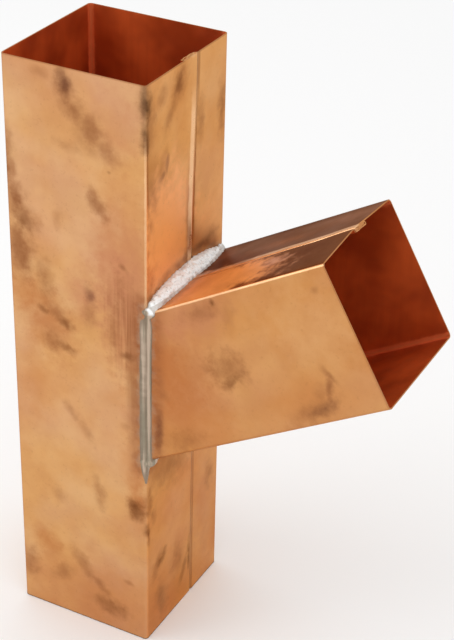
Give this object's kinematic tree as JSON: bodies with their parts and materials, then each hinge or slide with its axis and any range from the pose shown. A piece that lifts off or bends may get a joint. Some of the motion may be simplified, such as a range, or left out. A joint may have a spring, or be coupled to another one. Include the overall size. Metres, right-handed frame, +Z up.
{
  "type": "downpipe branch",
  "caption": "Square folded-sheet downpipe with a square branch pipe rising from one face at thirty degrees, soldered on, for joining a side inlet to a downpipe.",
  "frame": {"origin": "on the upright pipe's axis at its lower end", "axes": "+Z up along the upright pipe, +X towards the branch, +Y towards the far side, so that the branch leans from +X up to +Z"},
  "size_m": [0.1996, 0.0786, 0.312],
  "materials": {
    "copper_pipe": "rolled copper sheet, satin, handled and lightly tarnished",
    "copper_branch": "rolled copper sheet, satin, handled and tinted by heat",
    "solder": "lumpy soft solder, bright on top and wiped grey at the sides"
  },
  "bodies": {
    "root": {"main_pipe": "copper_pipe", "branch_pipe": "copper_branch", "solder_joint": "solder"}
  },
  "joints": []
}
